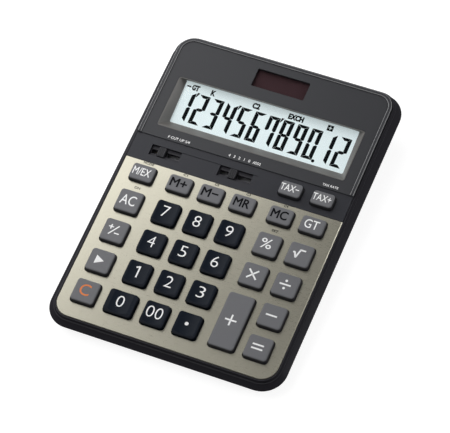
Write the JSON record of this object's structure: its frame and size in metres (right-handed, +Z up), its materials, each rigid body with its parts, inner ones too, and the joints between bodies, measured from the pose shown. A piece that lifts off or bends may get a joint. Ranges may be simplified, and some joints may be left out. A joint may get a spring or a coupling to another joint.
{
  "type": "desk calculator",
  "caption": "Wedge-shaped desk calculator with sprung keys on a brushed metal plate, two slide switches, a sloping liquid crystal display and a solar window.",
  "frame": {"origin": "middle of the footprint, on the desk under the feet", "axes": "+X to the user's right, +Y away from the user to the rear, +Z up"},
  "size_m": [0.151, 0.2118, 0.0344],
  "materials": {
    "case_black": "fine satin black",
    "plate_metal": "brushed champagne",
    "panel_grey": "satin charcoal",
    "bezel_grey": "matt grey",
    "clear_window": "clear",
    "lcd_face": "pale grey-green",
    "reflector": "satin",
    "tray_plastic": "matt",
    "ribbon_film": "amber film",
    "solar_glass": "smoked",
    "solar_face": "dark brown",
    "wire_cover": "smooth",
    "board_green": "solder mask",
    "chip_black": "smooth drop",
    "mat_rubber": "translucent grey",
    "cell_steel": "bright",
    "contact_brass": "plain",
    "door_black": "fine satin black",
    "screw_steel": "plain",
    "foot_rubber": "matt",
    "knob_grey": "satin",
    "number_key": "satin near-black",
    "function_key": "satin grey"
  },
  "bodies": {
    "case": {"battery_contacts": "contact_brass", "battery_door": "door_black", "battery_door_screw": "screw_steel", "battery_leads": "wire_cover", "board_screws": "screw_steel", "button_cell": "cell_steel", "case_screws": "screw_steel", "display_bezel": "bezel_grey", "display_panel": "panel_grey", "display_window": "clear_window", "key_mat": "mat_rubber", "key_plate": "plate_metal", "lcd_holder": "tray_plastic", "lcd_panel": "lcd_face", "lcd_reflector": "reflector", "lcd_ribbon": "ribbon_film", "lower_case": "case_black", "main_board": "board_green", "processor_chip": "chip_black", "rubber_feet": "foot_rubber", "solar_cell": "solar_face", "solar_leads": "wire_cover", "solar_window": "solar_glass", "upper_case": "case_black"},
    "key_0": {"key_0": "number_key"},
    "key_1": {"key_1": "number_key"},
    "key_2": {"key_2": "number_key"},
    "key_3": {"key_3": "number_key"},
    "key_4": {"key_4": "number_key"},
    "key_5": {"key_5": "number_key"},
    "key_6": {"key_6": "number_key"},
    "key_7": {"key_7": "number_key"},
    "key_8": {"key_8": "number_key"},
    "key_9": {"key_9": "number_key"},
    "key_all_clear": {"key_all_clear": "function_key"},
    "key_back": {"key_back": "function_key"},
    "key_clear": {"key_clear": "function_key"},
    "key_divide": {"key_divide": "function_key"},
    "key_double_zero": {"key_double_zero": "number_key"},
    "key_equals": {"key_equals": "function_key"},
    "key_grand_total": {"key_grand_total": "function_key"},
    "key_memory_clear": {"key_memory_clear": "function_key"},
    "key_memory_exchange": {"key_memory_exchange": "function_key"},
    "key_memory_minus": {"key_memory_minus": "function_key"},
    "key_memory_plus": {"key_memory_plus": "function_key"},
    "key_memory_recall": {"key_memory_recall": "function_key"},
    "key_minus": {"key_minus": "function_key"},
    "key_percent": {"key_percent": "function_key"},
    "key_plus": {"key_plus": "function_key"},
    "key_point": {"key_point": "number_key"},
    "key_root": {"key_root": "function_key"},
    "key_sign": {"key_sign": "function_key"},
    "key_tax_minus": {"key_tax_minus": "function_key"},
    "key_tax_plus": {"key_tax_plus": "function_key"},
    "key_times": {"key_times": "function_key"},
    "rounding_switch": {"rounding_switch_knob": "knob_grey", "rounding_switch_wiper": "contact_brass"},
    "decimal_switch": {"decimal_switch_knob": "knob_grey", "decimal_switch_wiper": "contact_brass"}
  },
  "joints": [
    {"name": "key_0_press", "type": "slide", "parent": "case", "child": "key_0", "axis": [0, 0.0872, -0.9962], "range_m": [0, 0.0018], "stiffness_N_per_m": 300, "springref_m": -0.0004, "deforming": ["key_mat"]},
    {"name": "key_1_press", "type": "slide", "parent": "case", "child": "key_1", "axis": [0, 0.0872, -0.9962], "range_m": [0, 0.0018], "stiffness_N_per_m": 300, "springref_m": -0.0004, "deforming": ["key_mat"]},
    {"name": "key_2_press", "type": "slide", "parent": "case", "child": "key_2", "axis": [0, 0.0872, -0.9962], "range_m": [0, 0.0018], "stiffness_N_per_m": 300, "springref_m": -0.0004, "deforming": ["key_mat"]},
    {"name": "key_3_press", "type": "slide", "parent": "case", "child": "key_3", "axis": [0, 0.0872, -0.9962], "range_m": [0, 0.0018], "stiffness_N_per_m": 300, "springref_m": -0.0004, "deforming": ["key_mat"]},
    {"name": "key_4_press", "type": "slide", "parent": "case", "child": "key_4", "axis": [0, 0.0872, -0.9962], "range_m": [0, 0.0018], "stiffness_N_per_m": 300, "springref_m": -0.0004, "deforming": ["key_mat"]},
    {"name": "key_5_press", "type": "slide", "parent": "case", "child": "key_5", "axis": [0, 0.0872, -0.9962], "range_m": [0, 0.0018], "stiffness_N_per_m": 300, "springref_m": -0.0004, "deforming": ["key_mat"]},
    {"name": "key_6_press", "type": "slide", "parent": "case", "child": "key_6", "axis": [0, 0.0872, -0.9962], "range_m": [0, 0.0018], "stiffness_N_per_m": 300, "springref_m": -0.0004, "deforming": ["key_mat"]},
    {"name": "key_7_press", "type": "slide", "parent": "case", "child": "key_7", "axis": [0, 0.0872, -0.9962], "range_m": [0, 0.0018], "stiffness_N_per_m": 300, "springref_m": -0.0004, "deforming": ["key_mat"]},
    {"name": "key_8_press", "type": "slide", "parent": "case", "child": "key_8", "axis": [0, 0.0872, -0.9962], "range_m": [0, 0.0018], "stiffness_N_per_m": 300, "springref_m": -0.0004, "deforming": ["key_mat"]},
    {"name": "key_9_press", "type": "slide", "parent": "case", "child": "key_9", "axis": [0, 0.0872, -0.9962], "range_m": [0, 0.0018], "stiffness_N_per_m": 300, "springref_m": -0.0004, "deforming": ["key_mat"]},
    {"name": "key_all_clear_press", "type": "slide", "parent": "case", "child": "key_all_clear", "axis": [0, 0.0872, -0.9962], "range_m": [0, 0.0018], "stiffness_N_per_m": 300, "springref_m": -0.0004, "deforming": ["key_mat"]},
    {"name": "key_back_press", "type": "slide", "parent": "case", "child": "key_back", "axis": [0, 0.0872, -0.9962], "range_m": [0, 0.0018], "stiffness_N_per_m": 300, "springref_m": -0.0004, "deforming": ["key_mat"]},
    {"name": "key_clear_press", "type": "slide", "parent": "case", "child": "key_clear", "axis": [0, 0.0872, -0.9962], "range_m": [0, 0.0018], "stiffness_N_per_m": 300, "springref_m": -0.0004, "deforming": ["key_mat"]},
    {"name": "key_divide_press", "type": "slide", "parent": "case", "child": "key_divide", "axis": [0, 0.0872, -0.9962], "range_m": [0, 0.0018], "stiffness_N_per_m": 300, "springref_m": -0.0004, "deforming": ["key_mat"]},
    {"name": "key_double_zero_press", "type": "slide", "parent": "case", "child": "key_double_zero", "axis": [0, 0.0872, -0.9962], "range_m": [0, 0.0018], "stiffness_N_per_m": 300, "springref_m": -0.0004, "deforming": ["key_mat"]},
    {"name": "key_equals_press", "type": "slide", "parent": "case", "child": "key_equals", "axis": [0, 0.0872, -0.9962], "range_m": [0, 0.0018], "stiffness_N_per_m": 300, "springref_m": -0.0004, "deforming": ["key_mat"]},
    {"name": "key_grand_total_press", "type": "slide", "parent": "case", "child": "key_grand_total", "axis": [0, 0.0872, -0.9962], "range_m": [0, 0.0018], "stiffness_N_per_m": 300, "springref_m": -0.0004, "deforming": ["key_mat"]},
    {"name": "key_memory_clear_press", "type": "slide", "parent": "case", "child": "key_memory_clear", "axis": [0, 0.0872, -0.9962], "range_m": [0, 0.0018], "stiffness_N_per_m": 300, "springref_m": -0.0004, "deforming": ["key_mat"]},
    {"name": "key_memory_exchange_press", "type": "slide", "parent": "case", "child": "key_memory_exchange", "axis": [0, 0.0872, -0.9962], "range_m": [0, 0.0018], "stiffness_N_per_m": 300, "springref_m": -0.0004, "deforming": ["key_mat"]},
    {"name": "key_memory_minus_press", "type": "slide", "parent": "case", "child": "key_memory_minus", "axis": [0, 0.0872, -0.9962], "range_m": [0, 0.0018], "stiffness_N_per_m": 300, "springref_m": -0.0004, "deforming": ["key_mat"]},
    {"name": "key_memory_plus_press", "type": "slide", "parent": "case", "child": "key_memory_plus", "axis": [0, 0.0872, -0.9962], "range_m": [0, 0.0018], "stiffness_N_per_m": 300, "springref_m": -0.0004, "deforming": ["key_mat"]},
    {"name": "key_memory_recall_press", "type": "slide", "parent": "case", "child": "key_memory_recall", "axis": [0, 0.0872, -0.9962], "range_m": [0, 0.0018], "stiffness_N_per_m": 300, "springref_m": -0.0004, "deforming": ["key_mat"]},
    {"name": "key_minus_press", "type": "slide", "parent": "case", "child": "key_minus", "axis": [0, 0.0872, -0.9962], "range_m": [0, 0.0018], "stiffness_N_per_m": 300, "springref_m": -0.0004, "deforming": ["key_mat"]},
    {"name": "key_percent_press", "type": "slide", "parent": "case", "child": "key_percent", "axis": [0, 0.0872, -0.9962], "range_m": [0, 0.0018], "stiffness_N_per_m": 300, "springref_m": -0.0004, "deforming": ["key_mat"]},
    {"name": "key_plus_press", "type": "slide", "parent": "case", "child": "key_plus", "axis": [0, 0.0872, -0.9962], "range_m": [0, 0.0018], "stiffness_N_per_m": 300, "springref_m": -0.0004, "deforming": ["key_mat"]},
    {"name": "key_point_press", "type": "slide", "parent": "case", "child": "key_point", "axis": [0, 0.0872, -0.9962], "range_m": [0, 0.0018], "stiffness_N_per_m": 300, "springref_m": -0.0004, "deforming": ["key_mat"]},
    {"name": "key_root_press", "type": "slide", "parent": "case", "child": "key_root", "axis": [0, 0.0872, -0.9962], "range_m": [0, 0.0018], "stiffness_N_per_m": 300, "springref_m": -0.0004, "deforming": ["key_mat"]},
    {"name": "key_sign_press", "type": "slide", "parent": "case", "child": "key_sign", "axis": [0, 0.0872, -0.9962], "range_m": [0, 0.0018], "stiffness_N_per_m": 300, "springref_m": -0.0004, "deforming": ["key_mat"]},
    {"name": "key_tax_minus_press", "type": "slide", "parent": "case", "child": "key_tax_minus", "axis": [0, 0.0872, -0.9962], "range_m": [0, 0.0018], "stiffness_N_per_m": 300, "springref_m": -0.0004, "deforming": ["key_mat"]},
    {"name": "key_tax_plus_press", "type": "slide", "parent": "case", "child": "key_tax_plus", "axis": [0, 0.0872, -0.9962], "range_m": [0, 0.0018], "stiffness_N_per_m": 300, "springref_m": -0.0004, "deforming": ["key_mat"]},
    {"name": "key_times_press", "type": "slide", "parent": "case", "child": "key_times", "axis": [0, 0.0872, -0.9962], "range_m": [0, 0.0018], "stiffness_N_per_m": 300, "springref_m": -0.0004, "deforming": ["key_mat"]},
    {"name": "rounding_switch_slide", "type": "slide", "parent": "case", "child": "rounding_switch", "axis": [1, 0, 0], "range_m": [-0.0047, 0.0094]},
    {"name": "decimal_switch_slide", "type": "slide", "parent": "case", "child": "decimal_switch", "axis": [1, 0, 0], "range_m": [-0.0064, 0.0096]}
  ]
}
